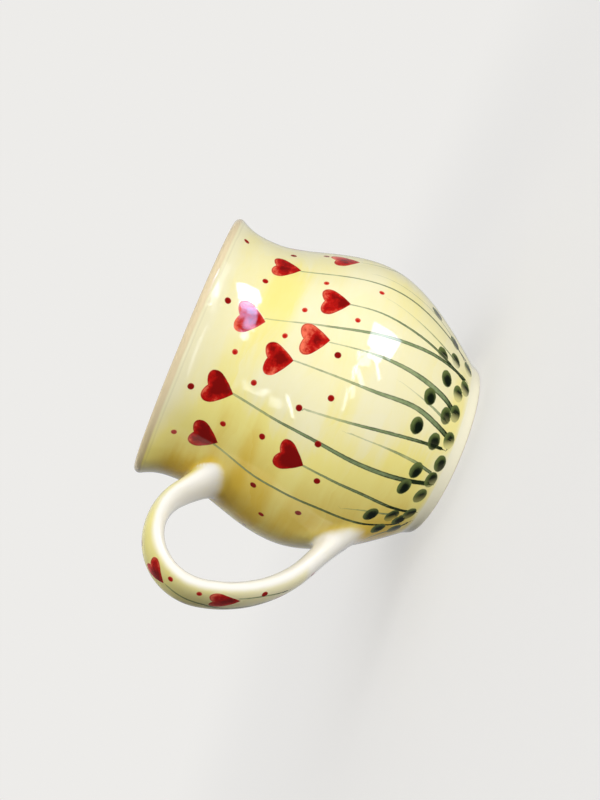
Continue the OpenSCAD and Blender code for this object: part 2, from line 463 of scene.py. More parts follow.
# One list of points: the body's grid, its two middles, and the strap's own rings.
rowCount = len(rows)
gridIndex = np.arange(rowCount * columns).reshape(rowCount, columns)
tubeIndex = rowCount * columns + np.arange((len(tube) - 2) * ringCount).reshape(len(tube) - 2, ringCount)
borderIndex = [np.array([gridIndex[row, column % columns] for row, column in loop]) for loop in loops]
tubeIndex = np.vstack([borderIndex[0][None], tubeIndex, borderIndex[1][None]])
points = np.vstack([grid.reshape(-1, 3), tube[1:-1].reshape(-1, 3)])

inBlock = np.zeros((rowCount - 1, columns), bool)
for low in blocks:
    for column in range(-half, half):
        inBlock[low:low + tall, column % columns] = True
fr, fc = np.nonzero(~inBlock[1:-1])
fr = fr + 1
bodyFaces = np.column_stack([gridIndex[fr, fc], gridIndex[fr, (fc + 1) % columns],
                             gridIndex[fr + 1, (fc + 1) % columns], gridIndex[fr + 1, fc]])
tr, tc = np.nonzero(np.ones((len(tube) - 1, ringCount), bool))
tubeFaces = np.column_stack([tubeIndex[tr, tc], tubeIndex[tr + 1, tc],
                             tubeIndex[tr + 1, (tc + 1) % ringCount], tubeIndex[tr, (tc + 1) % ringCount]])
# row 0 and the last row are single points on the axis
around = np.arange(columns)
nextRound = (around + 1) % columns
underFan = np.column_stack([np.full(columns, gridIndex[0, 0]), gridIndex[1, nextRound], gridIndex[1, around]])
floorFan = np.column_stack([np.full(columns, gridIndex[-1, 0]),
                            gridIndex[-2, around], gridIndex[-2, nextRound]])

# Corners of the faces in the mesh's own order, for the painting and the bake's map.
faceLists = [bodyFaces, tubeFaces, underFan, floorFan]
corners = np.concatenate([part.ravel() for part in faceLists])
used = np.unique(corners)
renumber = np.full(len(points), -1)
renumber[used] = np.arange(len(used))
sides = np.concatenate([np.full(len(part), part.shape[1]) for part in faceLists])
faceOf = np.repeat(np.arange(len(sides)), sides)
cornerPoints = points[corners]
starts = np.concatenate([[0], np.cumsum(sides)[:-1]])
middles = np.add.reduceat(cornerPoints, starts) / sides[:, None]
faceKind = np.concatenate([rowPart[fr], np.full(len(tubeFaces), kinds["strap"]),
                           np.full(columns, kinds["base"]), np.full(columns, kinds["inside"])])
paintable = (faceKind == kinds["wall"]) | (faceKind == kinds["strap"])

# The painting on the body: places as height and angle round the mug, the handle being at 0 degrees.
painting = {
    "heartHalf": 4.9,
    "heartTip": 3.8,         # from a heart's middle to its tip
    "dotR": 0.92,
    "leafHalf": (2.7, 2.5),
    "hearts": [              # height and angle of the tip, how far it leans round the mug, darkness, near the handle partly painted shade
        (65.7, 108.9, 3, 0.62), (49.6, 125.6, 12, 0.5), (49.2, 95.3, 9, 0.5), (70.0, 77.6, 6, 0.25),
        (51.3, 78.1, 14, 0.22), (58.7, 66.6, 13, 0.52), (70.7, 46.1, 1, 0.85), (69.3, 23.9, 0, 1.0),
        (44.8, 33.8, -3, 0.95)],
    "farHearts": [
        (63, 143, 5, 0.5), (72, 156, -4, 0.7), (48, 168, 10, 0.4), (57, 184, 4, 0.6), (70, 197, -6, 0.35),
        (52, 212, 12, 0.7), (66, 226, 2, 0.5), (46, 243, -8, 0.8), (71, 252, 5, 0.45), (56, 268, 9, 0.6),
        (68, 284, -5, 0.75), (48, 299, 7, 0.35), (62, 312, 3, 0.6), (70, 328, -3, 0.9), (51, 331, 4, 0.7)],
    "dots": [                # height, angle
        (84.0, 115.5), (69.2, 121.9), (59.7, 128.0), (74.4, 96.2), (57.6, 103.3), (82.2, 79.9),
        (41.5, 106.0), (60.9, 87.4), (45.9, 89.2), (63.5, 74.6), (74.8, 61.9), (47.9, 73.8), (82.6, 42.8),
        (66.6, 53.5),
        (45.3, 59.1), (52.4, 51.8), (70.1, 33.0), (82.2, 20.5), (58.6, 36.2), (43.6, 43.1), (39.4, 30.4),
        (55.1, 15.3), (49.1, 2.8), (39.9, 13.8), (51.4, -17.3)],
    "leaves": [              # height, angle
        (21.4, 122.0), (13.1, 116.5), (17.3, 98.3), (12.0, 103.9), (6.1, 111.2), (13.9, 89.2), (6.2, 95.2),
        (8.4, 87.9), (17.7, 76.0), (10.3, 73.2), (7.4, 77.4), (18.5, 62.4), (11.1, 59.4), (6.2, 63.2),
        (6.0, 50.2), (12.8, 44.1), (6.5, 40.5), (14.0, 35.3), (7.3, 30.2), (19.5, 19.3), (12.6, 17.2),
        (7.3, 16.7), (9.4, 12.6), (14.4, 7.7), (8.6, 2.6)],
    "faded": [               # leaves and dots where the brush held little paint
        (17.3, 98.3), (12.0, 103.9), (6.1, 111.2), (6.2, 95.2), (8.4, 87.9), (7.4, 77.4), (6.2, 63.2),
        (7.3, 16.7),
        (60.9, 87.4), (63.5, 74.6), (74.8, 61.9), (57.6, 103.3), (45.9, 89.2), (41.5, 106.0)],
    "stems": [               # height and angle from the heart down, half widths above and below, strength
        ([(66, 108.2), (48.5, 110.3), (32.7, 111.6), (19.5, 113.2), (7.5, 116.1)], 0.25, 0.42, 0.8),
        ([(49.4, 95), (41.4, 95.9), (30.6, 96.2), (20.1, 97.2), (7.1, 98.4)], 0.22, 0.5, 0.8),
        ([(70.6, 78.9), (58.9, 82), (47.9, 84.4), (31.1, 89.2), (20.6, 93.6), (7.3, 99.9)], 0.2, 0.62, 0.7),
        ([(51.5, 77.3), (42.3, 78.5), (33.2, 79.6), (21.8, 80.4), (12.9, 79.9), (8.6, 78)], 0.18, 0.95, 0.7),
        ([(58.6, 66.7), (46.8, 66.6), (34.6, 66.9), (21.3, 68.6), (12.6, 66.8), (7, 64.4)], 0.22, 0.86, 0.7),
        ([(50.8, 52.1), (38.4, 53.8), (26.2, 55.5), (7.6, 57.7)], 0.28, 0.52, 0.75),
        ([(36.5, 50.7), (24.2, 49.9), (14.4, 47.7), (7.6, 44.3)], 0.16, 0.5, 0.55),
        ([(71, 46.3), (58.8, 44.5), (43.8, 43.6), (29.7, 41.2), (16, 38.7), (6.8, 38)], 0.32, 0.74, 0.85),
        ([(44.8, 33.8), (34.9, 32.4), (22.9, 28.5), (6.3, 17.8)], 0.32, 0.5, 0.9),
        ([(70.2, 22.3), (57.8, 19.6), (47.3, 19.8), (34.5, 19.1), (20.8, 13.4), (9.4, 8.6)],
         0.34, 0.42, 0.95),
        ([(28.1, 21.9), (21.4, 21.3), (12.4, 18.1)], 0.15, 0.35, 0.5),
        ([(28, 74.5), (16.5, 72.7), (10.4, 71.2)], 0.12, 0.42, 0.5),
        ([(48.9, 125.8), (40.6, 128.6), (30.4, 136.3), (14, 141)], 0.24, 0.5, 0.65),
        ([(39.3, 104.1), (26.5, 102.6), (12.4, 103.1)], 0.15, 0.32, 0.45),
        ([(44, 117), (30.5, 117.4), (20.3, 119), (14.5, 118), (8, 113.5)], 0.14, 0.3, 0.6),
        ([(16.5, -2.5), (12.3, 0.7), (8.5, 2.5), (5.8, 6.5)], 0.4, 0.5, 0.95)],
    "clumps": [137, 156, 176, 195, 216, 236, 256, 276, 297, 318, 337],   # where stems meet on the far side
    "clumpLeaves": [(18.5, 1.5), (12.6, -3.2), (13.2, 5.0), (6.6, 0.8), (7.0, -7.0)],
    "leafStray": (1.4, 1.6),
    "farDots": 34,
    "farDotsWithin": (40, 84, 140, 336),
    "dotOff": (7.5, 8),      # how far a dot keeps from a heart's middle and from other dots
    "washes": [              # strokes of yellow: height, half height, from angle, to angle, strength
        (67.5, 5.6, 60, 116, 0.34), (74, 7.0, -36, 14, 0.42), (66, 7.0, -34, 50, 0.4),
        (74, 6.0, 20, 72, 0.25),
        (56, 6.5, -20, 50, 0.36), (40, 5.5, -10, 62, 0.35), (29, 6.5, 2, 56, 0.3), (15, 7, -20, 60, 0.4),
        (7.5, 4.5, 50, 106, 0.3), (33, 6.5, 96, 128, 0.2), (57, 5.0, 100, 136, 0.12), (84, 4.0, 96, 140, 0.1),
        (47, 9, 44, 88, 0.14)],
    "farWashes": 16,
    "poolAndShade": (-2, 60, 0.95),  # deeper yellow round the handle, partly glaze pooled there and partly painted shade: angle, half the reach, strength
    "washEnd": 22,           # how far a stroke takes to fade out at its ends, in degrees, and at its edges
    "washEdge": 3.6,
    "washLeast": 0.25,
    "strapWash": (36, 20, 0.4),        # on the strap: place along it, half the reach, strength
    "lipSheen": (7, 0.5),     # the yellow is paler over this much below the lip, by this much: a painted sheen
    "motifReach": (3.2, 9),  # how far from a motif's plane and from its middle its paint may lie
    "stemReach": 2.4,
}

strapPainting = {            # millimetres along the strap from its upper root, and across it
    "hearts": [              # tip along and across, lean, darkness, width and length beside a body's heart
        (39.6, 1.4, -6, 0.55, 0.95, 0.85), (60.0, 3.6, 6, 0.6, 0.78, 1.05), (77.5, -3.6, 12, 0.7, 0.8, 0.8)],
    "dots": [(40.5, 5.5), (48.5, 5.5), (66.5, 5.0), (27.5, -1.5), (46.0, -4.4), (62.0, -4.2), (83, 1.5)],
    "stems": [([(40.5, 1.5), (45, 0.6), (50, -0.2), (55, -2.0), (62, -2.2), (70, -1.6)], 0.42, 0.42, 0.85),
              ([(59.3, 4.7), (67, 4.0), (74, 2.0)], 0.3, 0.3, 0.7)],
}


def tipped(frame, wide=1.0, long=1.0):
    # a heart's frame, from that of its tip
    place, across, up = frame
    return place + up * painting["heartTip"] * long, across / wide, up / long


def onWall(z, angle, lean=0):
    # a place on the wall, and the directions across a motif and up it
    turned = math.radians(angle)
    outward = np.array([math.cos(turned), math.sin(turned), 0])
    across = np.array([-math.sin(turned), math.cos(turned), 0])
    slant = (wallR(z + 0.5) - wallR(z - 0.5))
    up = np.append(outward[:2] * slant, 1)
    up = up / np.linalg.norm(up)
    c, s = math.cos(math.radians(lean)), math.sin(math.radians(lean))
    return outward * wallR(z) + [0, 0, z], across * c + up * s, up * c - across * s


def onStrap(s, y, lean=0):
    middle, out = strapAt(s)
    before, after = strapAt(s - 0.5)[0], strapAt(s + 0.5)[0]
    power = strapShape["square"]
    n = halfThick(s, False) * (1 - min(abs(y) / halfWidth(s), 1) ** power) ** (1 / power)
    back = (before - after) / np.linalg.norm(before - after)
    up, across = np.array([back[0], 0, back[1]]), np.array([0, 1, 0])
    c, s = math.cos(math.radians(lean)), math.sin(math.radians(lean))
    spot = np.array([middle[0] + out[0] * n, y, middle[1] + out[1] * n])
    return spot, across * c + up * s, up * c - across * s


def apart(places, at, least):
    return all(np.linalg.norm(onWall(*at)[0] - onWall(*place[:2])[0]) > least for place in places)


# The far side, which goes on in the same way.
hand = random.Random(7)
hearts, dots = painting["hearts"] + painting["farHearts"], list(painting["dots"])
leaves, stemWays, washes = list(painting["leaves"]), list(painting["stems"]), list(painting["washes"])
low, high, start, stop = painting["farDotsWithin"]
while len(dots) < len(painting["dots"]) + painting["farDots"]:
    at = (hand.uniform(low, high), hand.uniform(start, stop))
    offHearts, offDots = painting["dotOff"]
    if apart(hearts, (at[0] - 4, at[1]), offHearts) and apart(dots, at, offDots):      # 4 below, at the tip
        dots.append(at)
upStray, roundStray = painting["leafStray"]
for clump in painting["clumps"]:
    for z, step in painting["clumpLeaves"]:
        leafUp = z + hand.uniform(-upStray, upStray)
        leaves.append((leafUp, clump + step + hand.uniform(-roundStray, roundStray)))
for z, angle, lean, dark in painting["farHearts"]:
    foot = min(painting["clumps"], key=lambda clump: abs(clump - angle - hand.uniform(-6, 6)))
    bow = hand.uniform(-1.5, 1.5)
    way = [(z - 0.3 - (z - 6.5) * t, angle + (foot - angle) * t ** 1.8 + bow * math.sin(math.pi * t))
           for t in (0, 0.25, 0.5, 0.75, 1)]
    stemWays.append((way, 0.22, hand.uniform(0.45, 0.8), hand.uniform(0.65, 0.9)))


def smoothWay(knots, steps=10):
    # a curve through the points
    knots = np.array(knots, float)
    ends = np.vstack([2 * knots[0] - knots[1], knots, 2 * knots[-1] - knots[-2]])
    u = (np.arange(steps) / steps)[:, None]
    way = []
    for a, b, c, d in zip(ends, ends[1:], ends[2:], ends[3:]):
        way.append(b + 0.5 * u * (c - a + u * (2 * a - 5 * b + 4 * c - d + u * (3 * (b - c) + d - a))))
    return np.vstack(way + [knots[-1:]])


def heartSize(across, up):
    # how large a heart would have to be for its edge to pass through here
    x, y = np.abs(across) / painting["heartHalf"], up / painting["heartHalf"]
    return np.hypot(x, y * 1.28 - x ** 0.92 * 0.8) * painting["heartHalf"]


def motifCoordinates(places, size=np.hypot, far=40.0):
    # each face takes its nearest motif, and each of its corners a place in that motif: across, up, tone
    origin = np.array([place for (place, across, up), tone in places])
    frames = np.array([[across, up] for (place, across, up), tone in places])
    tones = np.array([tone for frame, tone in places])
    best, which = np.full(len(sides), far), np.zeros(len(sides), int)
    offPlane, offMiddle = painting["motifReach"]
    for k in range(len(places)):
        offset = middles - origin[k]
        outward = np.cross(*frames[k])
        depth = np.abs(offset @ outward) / np.linalg.norm(outward)
        inReach = (depth < offPlane) & paintable & (np.linalg.norm(offset, axis=1) < offMiddle)
        gone = np.where(inReach, size(offset @ frames[k][0], offset @ frames[k][1]), far)
        nearer = gone < best
        best[nearer], which[nearer] = gone[nearer], k
    chosen = which[faceOf]
    offset = cornerPoints - origin[chosen]
    found = np.column_stack([(offset * frames[chosen, 0]).sum(1), (offset * frames[chosen, 1]).sum(1),
                             tones[chosen]])
    found[best[faceOf] >= far] = [far, far, 0]
    return found


def besideWay(spots, way, side):
    # how far spots lie from a stem, to which side, and how far along it
    best, across, along = np.full(len(spots), 99.0), np.zeros(len(spots)), np.zeros(len(spots))
    for k in range(len(way) - 1):
        step = way[k + 1] - way[k]
        share = np.clip((spots - way[k]) @ step / (step @ step), 0, 1)
        offset = spots - way[k] - share[:, None] * step
        gone = np.linalg.norm(offset, axis=1)
        nearer = gone < best
        best[nearer], along[nearer] = gone[nearer], (k + share[nearer]) / (len(way) - 1)
        across[nearer] = offset[nearer] @ side[k]
    return best, across, along


stems = []
for ways, onSurface in ((stemWays, onWall), (strapPainting["stems"], onStrap)):
    for knots, *widths in ways:
        stems.append(([onSurface(*knot) for knot in smoothWay(knots)], *widths))

# Stems that meet or cross go in different layers.
stemLayers = [[], [], []]
for stem in stems:
    way = np.array([place for place, across, up in stem[0]])
    clashes = []
    for layer in stemLayers:
        gaps = [np.linalg.norm(way[:, None] - other[None], axis=2).min() for other, *rest in layer]
        clashes.append(min(gaps, default=99.0))
    free = [k for k, clash in enumerate(clashes) if clash > 3.0]
    k = free[0] if free else int(np.argmax(clashes))
    normals = np.array([np.cross(across, up) for place, across, up in stem[0]])
    step = np.gradient(way, axis=0)
    side = np.cross(normals, step)
    stemLayers[k].append((way, side / np.linalg.norm(side, axis=1)[:, None], *stem[1:]))
print("stems:", len(stems), "in layers of", [len(layer) for layer in stemLayers])


def stemCoordinates(layer, far=40.0):
    # across the stem, its half width there, and its strength
    best, which = np.full(len(sides), painting["stemReach"]), np.full(len(sides), -1)
    outside = np.nonzero(paintable)[0]
    for k, (way, side, above, below, strength) in enumerate(layer):
        within = (middles[outside] > way.min(0) - 3) & (middles[outside] < way.max(0) + 3)
        inReach = outside[np.all(within, axis=1)]
        gone = besideWay(middles[inReach], way, side)[0]
        nearer = gone < best[inReach]
        best[inReach[nearer]], which[inReach[nearer]] = gone[nearer], k
    found = np.tile([far, 0.0, 0.0], (len(corners), 1))
    for k, (way, side, above, below, strength) in enumerate(layer):
        own = which[faceOf] == k
        gone, across, along = besideWay(cornerPoints[own], way, side)
        beyond = np.sqrt(np.maximum(gone ** 2 - across ** 2, 0))
        width = above + (below - above) * ease((along - 0.08) * 1.5)
        paint = strength * (0.45 + 0.35 * ease(along * 1.6) + 0.6 * ease(along * 3 - 2))
        found[own] = np.column_stack([np.hypot(across, beyond) * np.sign(across), width, paint])
    return found


# Where the yellow lies: millimetres inside its edge, and millimetres below the lip's rounding.
place, away = strapNear(cornerPoints[:, 0], cornerPoints[:, 2])
offWall, offStrap = wallGap(cornerPoints), strapGap(cornerPoints)
outerShare = away / halfThick(place, away < 0)
onStrapFace = np.minimum(np.minimum(place - 2, (strapRun - 17) - place) * 0.5, (outerShare - 0.33) * 3.2)
lipSide = ease(away / 4 + 0.3) * (place < strapRun / 2)
rootIn = (offStrap - 0.85 + 0.55 * lipSide) * (0.9 + 1.7 * lipSide)
onStrapFace -= 4 * (1 - ease((offWall - 0.4) / 1.2))
yellowIn = np.minimum((cornerPoints[:, 2] - 4.3) * 0.6, np.maximum(rootIn, onStrapFace))
insideShare = (faceKind[faceOf] == kinds["inside"]).astype(float)
yellowIn[(insideShare > 0) | (faceKind[faceOf] == kinds["base"])] = -9
lipBelow = (bodyShape["height"] - 2.3) - cornerPoints[:, 2]
zones = np.column_stack([yellowIn, lipBelow, insideShare])

# How strong the yellow is, from strokes laid round the mug.
for _ in range(painting["farWashes"]):
    start = hand.uniform(125, 300)
    washes.append((hand.uniform(10, 84), hand.uniform(4.5, 7), start, start + hand.uniform(28, 60),
                   hand.uniform(0.2, 0.6)))
cornerAngle = np.degrees(np.arctan2(cornerPoints[:, 1], cornerPoints[:, 0]))
# painted shade as well as deeper glaze: the yellow deepens towards the handle
poolShadeAngle, poolShadeReach, poolShadeStrength = painting["poolAndShade"]
wash = painting["washLeast"] + poolShadeStrength * ease(1 - np.abs(cornerAngle - poolShadeAngle) / poolShadeReach)
# a bright edge above each root
wash += 0.25 * lipSide * ease(1 - (offStrap - 0.4) / 3) * (offWall < 1.5)
for z, halfTall, start, stop, strength in washes:
    halfLong = (stop - start) / 2
    gone = np.abs((cornerAngle - start - halfLong + 180) % 360 - 180)
    ragged = 3.0 * np.sin(cornerPoints[:, 2] * 1.1 + start) + 2.0 * np.sin(cornerPoints[:, 2] * 2.9 + stop)
    lengthwise = ease((halfLong - gone + ragged) / painting["washEnd"] + 0.25)
    edgeAt = halfTall - np.abs(cornerPoints[:, 2] - z - 1.2 * np.sin(cornerAngle / 17 + start))
    wash += strength * lengthwise * ease(edgeAt / painting["washEdge"] + 0.4)
# painted sheen: the yellow turns paler towards the lip
sheenReach, sheenBy = painting["lipSheen"]
wash -= sheenBy * (1 - ease((bodyShape["height"] - 1 - cornerPoints[:, 2]) / sheenReach))
strapMiddle, strapReach, strapStrength = painting["strapWash"]
strapInside = strapReach + 6 - np.abs(place - strapMiddle)
strapWash = painting["washLeast"] + strapStrength * ease(strapInside / strapReach)
wash += (strapWash - wash) * ease((offWall - 0.5) / 7)

heartPlaces = [(tipped(onWall(z, angle, lean)), dark) for z, angle, lean, dark in hearts]
for s, y, lean, dark, wide, long in strapPainting["hearts"]:
    heartPlaces.append((tipped(onStrap(s, y, lean), wide, long), dark))
dotPlaces = [(onWall(*at), 0.7 * hand.random() + 0.8 * (at in painting["faded"])) for at in dots]
dotPlaces += [(onStrap(*at), hand.random()) for at in strapPainting["dots"]]
leafPlaces = [(onWall(*at, hand.uniform(-14, 14)), 0.6 * hand.random() + 0.4 * (at in painting["faded"]))
              for at in leaves]
painted = {
    "heart": motifCoordinates(heartPlaces, heartSize),
    "dot": motifCoordinates(dotPlaces),
    "leaf": motifCoordinates(leafPlaces),
    "stemA": stemCoordinates(stemLayers[0]),
    "stemB": stemCoordinates(stemLayers[1]),
    "stemC": stemCoordinates(stemLayers[2]),
    "zones": zones,
    "wash": np.column_stack([wash, wash * 0, wash * 0]),
}
print("painting:", len(heartPlaces), "hearts,", len(dotPlaces), "dots,", len(leafPlaces), "leaves")

# A flat map of the surface in millimetres: the outside in two halves, the handle, the inside, two discs.
flat = {
    "side": 226.0,
    "gap": 2.0,
    "insideWide": 0.2,       # the inside isn't painted, so it is drawn smaller
    "insideTall": 0.5,
    "under": (31, 75),       # middles of the discs, and the handle's corner and width, beside the outside
    "floor": (58, 125),
    "handleLow": 107,
    "handleWide": 40,
}
footRow = int(np.argmax(rowRun > ends[0] - 3.2))
lipRow = int(np.argmax(rowRun > (ends[1] + ends[2]) / 2))
floorRow = int(np.argmax((rowRun > ends[2] + 30) & (rows[:, 0] < 20)))
turnMm = math.pi * bodyShape["bellyD"] / 2
gapMm = flat["gap"]
cornerRow = np.column_stack([fr, fr, fr + 1, fr + 1]).ravel()
cornerColumn = np.column_stack([fc, fc + 1, fc + 1, fc]).ravel()
faceRow, faceColumn = np.repeat(fr, 4), np.repeat(fc, 4)
farHalf = faceColumn >= columns // 2
upWall = rowRun[cornerRow]
roundWall = cornerColumn * 2 / columns * turnMm
outsideTall = rowRun[lipRow] - rowRun[footRow]
outsideMap = np.column_stack([roundWall - farHalf * turnMm + gapMm,
                              upWall - rowRun[footRow] + gapMm + farHalf * (outsideTall + gapMm)])
rightEdge = turnMm + 2 * gapMm
insideMap = np.column_stack([rightEdge + roundWall * flat["insideWide"],
                             gapMm + (upWall - rowRun[lipRow]) * flat["insideTall"]])
under, floor = (np.array(flat[disc]) + [rightEdge, 0] for disc in ("under", "floor"))
tubeStep = np.linalg.norm(np.diff(tube, axis=0), axis=2).mean(1)
tubeUp = np.concatenate([[0], np.cumsum(tubeStep)])
tubeRow = np.column_stack([tr, tr + 1, tr + 1, tr]).ravel()
tubeColumn = np.column_stack([tc, tc, tc + 1, tc + 1]).ravel()
tubeMap = np.column_stack([rightEdge + tubeColumn * flat["handleWide"] / ringCount,
                           flat["handleLow"] + tubeUp[tubeRow]])
fans = cornerPoints[len(cornerRow) + len(tubeRow):, :2]
fansMap = np.vstack([fans[:3 * columns] + under, fans[3 * columns:] * flat["insideTall"] + floor])
flatPlace = cornerPoints[:len(cornerRow), :2]
bodyMap = flatPlace + under
onOutside, onInside = (faceRow >= footRow) & (faceRow < lipRow), (faceRow >= lipRow) & (faceRow < floorRow)
bodyMap[onOutside], bodyMap[onInside] = outsideMap[onOutside], insideMap[onInside]
onFloor = faceRow >= floorRow
bodyMap[onFloor] = flatPlace[onFloor] * flat["insideTall"] + floor
bakeMap = np.vstack([bodyMap, tubeMap, fansMap]) / flat["side"]
print("flat map:", bakeMap.min(0).round(3), bakeMap.max(0).round(3), "outside", round(float(outsideTall), 1),
      "inside", round(float(insideMap[onInside].max()), 1), "handle", round(float(tubeUp[-1]), 1))

# The wall strays a little from true, and the foot stays flat.
waves = [(np.array([hand.uniform(-1, 1) for _ in range(3)]), hand.uniform(0.08, 0.2), hand.uniform(0, 6.3))
         for _ in range(14)]
stray = np.zeros((len(points), 2))
for k, (way, pace, phase) in enumerate(waves):
    stray[:, k % 2] += np.sin(points @ (way / np.linalg.norm(way)) * pace + phase)
stray *= bodyShape["wobble"] / math.sqrt(len(waves) / 4) * ease((points[:, 2] - 2) / 14)[:, None]
points[:, :2] += stray

mesh = bpy.data.meshes.new("mugGlazed")
allFaces = [face for part in faceLists for face in renumber[part].tolist()]
mesh.from_pydata((points[used] * mm).tolist(), [], allFaces)
mesh.validate(verbose=True)
mesh.update()
mesh.shade_smooth()
mesh.uv_layers.new(name="OFBake").uv.foreach_set("vector", bakeMap.astype(np.float32).ravel())
for name, values in painted.items():
    layer = mesh.attributes.new(name, "FLOAT_VECTOR", "CORNER")
    layer.data.foreach_set("vector", values.astype(np.float32).ravel())
mug = bpy.data.objects.new("mugGlazed", mesh)
bpy.context.scene.collection.objects.link(mug)
print("mug:", len(mesh.vertices), "points,", int((sides - 2).sum()), "triangles")


class Wire:
    # a socket of a material whose arithmetic adds Math nodes
    def __init__(self, finish, socket):
        self.finish = finish
        self.socket = socket

    def maths(self, operation, a, b=0.0):
        return self.finish.node("Math", {"operation": operation}, {0: a, 1: b})

    def __add__(self, other):
        return self.maths("ADD", self, other)

    def __radd__(self, other):
        return self.maths("ADD", other, self)

    def __sub__(self, other):
        return self.maths("SUBTRACT", self, other)

    def __rsub__(self, other):
        return self.maths("SUBTRACT", other, self)

    def __mul__(self, other):
        return self.maths("MULTIPLY", self, other)

    def __rmul__(self, other):
        return self.maths("MULTIPLY", other, self)

    def __truediv__(self, other):
        return self.maths("DIVIDE", self, other)

    def __rtruediv__(self, other):
        return self.maths("DIVIDE", other, self)

    def __pow__(self, other):
        return self.maths("POWER", self, other)

    def __abs__(self):
        return self.maths("ABSOLUTE", self)

    def least(self, other):
        return self.maths("MINIMUM", self, other)

    def most(self, other):
        return self.maths("MAXIMUM", self, other)


class Finish:
    # the nodes of a material or of the world, and the few ways they are added
    def __init__(self, owner):
        self.owner = owner
        self.owner.use_nodes = True
        self.tree = self.owner.node_tree
        self.tree.nodes.clear()

    def node(self, kind, settings, values, out=0):
        made = self.tree.nodes.new("ShaderNode" + kind)
        for key, value in settings.items():
            setattr(made, key, value)
        for key, value in values.items():
            if isinstance(value, Wire):
                self.tree.links.new(value.socket, made.inputs[key])
            else:
                made.inputs[key].default_value = value
        return Wire(self, made.outputs[out])

    def noise(self, at, scale, detail, rough):
        # unevenness about 0, at one scale or at one for each direction
        if isinstance(scale, tuple):
            at, scale = self.stretch(at, scale), 1.0
        values = {"Vector": at, "Scale": scale, "Detail": detail, "Roughness": rough}
        return self.node("TexNoise", {}, values) - 0.5

    def stretch(self, at, scale):
        return self.node("VectorMath", {"operation": "MULTIPLY"}, {0: at, 1: scale})

    def shove(self, at, by):
        return self.node("VectorMath", {"operation": "ADD"}, {0: at, 1: by})

    def parts(self, vector):
        split = self.node("SeparateXYZ", {}, {0: vector}).socket.node
        return [Wire(self, socket) for socket in split.outputs]

    def attribute(self, name):
        return self.parts(self.node("Attribute", {"attribute_name": name}, {}, "Vector"))

    def between(self, value, low, high):
        # 0 below low, 1 above high, and a smooth change from one to the other
        return self.node("MapRange", {"interpolation_type": "SMOOTHSTEP"},
                         {"Value": value, "From Min": low, "From Max": high})

    def mix(self, a, b, share):
        return self.node("Mix", {"data_type": "RGBA"}, {0: share, 6: a, 7: b}, 2)

    def ray(self, kind):
        return self.node("LightPath", {}, {}, f"Is {kind} Ray")

    def alike(self, way, other):
        # 1 where two directions are the same, 0 where they are square to each other
        return self.node("VectorMath", {"operation": "DOT_PRODUCT"}, {0: way, 1: other}, "Value")

    def output(self, kind, shader):
        self.tree.links.new(shader.socket, self.tree.nodes.new("ShaderNodeOutput" + kind).inputs["Surface"])
        return self.owner


def rgb(red, green, blue):
    # a colour as it looks on a screen, turned into light
    light = [c / 12.92 if c < 0.04 else ((c + 0.055) / 1.055) ** 2.4 for c in (red, green, blue)]
    return (*light, 1.0)


glazeLook = {
    "cream": rgb(0.968, 0.945, 0.79),
    "yellow": rgb(0.968, 0.92, 0.56),
    "deepYellow": rgb(0.90, 0.75, 0.24),
    "white": rgb(0.98, 0.97, 0.94),
    "inside": rgb(0.95, 0.93, 0.84),
    "lipClay": rgb(0.90, 0.82, 0.67),
    "lipShadeLine": rgb(0.70, 0.66, 0.50),
    "bareClay": rgb(0.84, 0.77, 0.66),
    "heartDark": rgb(0.50, 0.02, 0.01),
    "heartRed": rgb(0.74, 0.07, 0.045),
    "heartLight": rgb(0.96, 0.46, 0.34),
    "leafDark": rgb(0.02, 0.07, 0.01),
    "leafEdge": rgb(0.40, 0.46, 0.25),
    "stemDark": rgb(0.10, 0.17, 0.05),
    "stemPale": rgb(0.56, 0.63, 0.45),
    # noises: scale, or how much they are drawn out each way, then detail and roughness
    "speckle": (900.0, 2.0, 0.5),
    "cloud": (42.0, 4.0, 0.6),
    "patch": (130.0, 3.0, 0.6),
    "blot": (330.0, 3.0, 0.65),
    "streak": ((1500, 1500, 110), 2.0, 0.6),
    "hairs": ((40, 40, 1100), 2.0, 0.5),
    "broad": ((14, 14, 44), 1.0, 0.5),
    "strokeCells": (26, 26, 82),
    "drift": (55.0, 3.0, 0.012),       # how the brush wanders: scale, detail, reach in metres
    # how much of each noise goes into the yellow, its edge, the lip's edge and each motif
    "yellowUneven": {"stroke": 0.14, "broad": 0.45, "cloud": 0.6, "hairs": 0.16},
    "edgeUneven": {"cloud": 2.0, "patch": 0.9},
    "lipUneven": {"cloud": 0.8},
    "stemUneven": {"streak": 0.9, "patch": 0.6},
    "leafUneven": {"patch": 0.9, "blot": 0.6},
    "heartUneven": {"patch": 1.7, "blot": 2.0},
    "relief": {"cloud": 1.0, "patch": 0.35, "hairs": 0.12, "speckle": 0.02},
    # from where to where one colour turns into another
    "yellowRange": (0.05, 0.85),
    "deepRange": (0.75, 1.8),
    "edgeRange": (-0.8, 0.9),
    "footRange": (9.0, 4.0),           # heights over which the bare edge at the foot turns creamy
    "bareRange": (0.35, 0.15),
    "leafRange": (1.25, 0.4),
    "leafClearRange": (0.3, -0.85),
    "heartLightRange": (-0.25, 0.5),
    "heartDarkRange": (0.4, 1.0),
    "lipRange": (0.25, -0.45),
    "leafCore": (-0.45, -0.6, 0.95),   # middle of a leaf's dark part, across and up, and its size
    "lipShadeLineAt": 0.75,                 # a thin line of painted shade this far below the lip
    "roughness": 0.07,
    "bareRoughness": 0.7,
    "bump": 0.00004,
}


